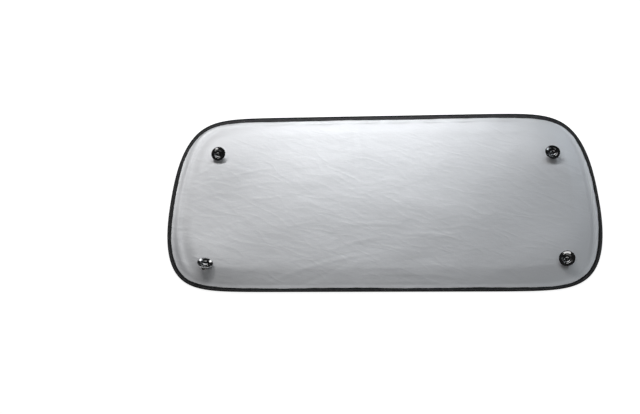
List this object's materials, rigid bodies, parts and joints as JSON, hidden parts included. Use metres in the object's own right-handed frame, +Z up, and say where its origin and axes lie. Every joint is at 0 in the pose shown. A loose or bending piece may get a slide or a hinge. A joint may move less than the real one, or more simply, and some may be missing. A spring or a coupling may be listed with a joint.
{
  "type": "car window sunshade",
  "caption": "Flat fold-down sunshade for a car's rear window: silver fabric panel on a sprung wire hoop with bound edge and suction cups near its corners.",
  "frame": {"origin": "middle of the shade's outline, on the surface that the edge binding lies on", "axes": "+Z up, out of the cups' side; +Y towards the edge that hangs uppermost in the window; +X to the right, along the shade's length"},
  "size_m": [1, 0.505, 0.0278],
  "materials": {
    "silver_fabric": "silver-coated woven polyester, satin",
    "binding_tape": "black woven polyester tape, matt",
    "spring_steel": "drawn spring wire, oiled",
    "eyelet_metal": "bright nickel plate on pressed brass",
    "cup_plastic": "soft black PVC, glossy"
  },
  "bodies": {
    "panel": {"fabric_panel": "silver_fabric", "edge_binding": "binding_tape", "spring_wire_hoop": "spring_steel", "wire_ferrule": "spring_steel", "eyelet_top_left": "eyelet_metal", "eyelet_top_right": "eyelet_metal", "eyelet_bottom_left": "eyelet_metal", "eyelet_bottom_right": "eyelet_metal", "eyelet_washer_top_left": "eyelet_metal", "eyelet_washer_top_right": "eyelet_metal", "eyelet_washer_bottom_left": "eyelet_metal", "eyelet_washer_bottom_right": "eyelet_metal"},
    "cup_top_left": {"suction_cup_top_left": "cup_plastic"},
    "cup_top_right": {"suction_cup_top_right": "cup_plastic"},
    "cup_bottom_left": {"suction_cup_bottom_left": "cup_plastic"},
    "cup_bottom_right": {"suction_cup_bottom_right": "cup_plastic"}
  },
  "joints": [
    {"name": "lean_top_left", "type": "hinge", "parent": "panel", "child": "cup_top_left", "pos_m": [-0.395, 0.129, 0.00866], "axis": [0.9962, -0.0872, 0], "range_deg": [-47, 3]},
    {"name": "lean_top_right", "type": "hinge", "parent": "panel", "child": "cup_top_right", "pos_m": [0.4075, 0.116, 0.00866], "axis": [0.9962, 0.0872, 0], "range_deg": [-37, 13]},
    {"name": "lean_bottom_left", "type": "hinge", "parent": "panel", "child": "cup_bottom_left", "pos_m": [-0.395, -0.192, 0.00866], "axis": [-0.8192, 0.5736, 0], "range_deg": [-47, 3]},
    {"name": "lean_bottom_right", "type": "hinge", "parent": "panel", "child": "cup_bottom_right", "pos_m": [0.4075, -0.178, 0.00866], "axis": [0.6428, -0.766, 0], "range_deg": [-47, 3]}
  ]
}
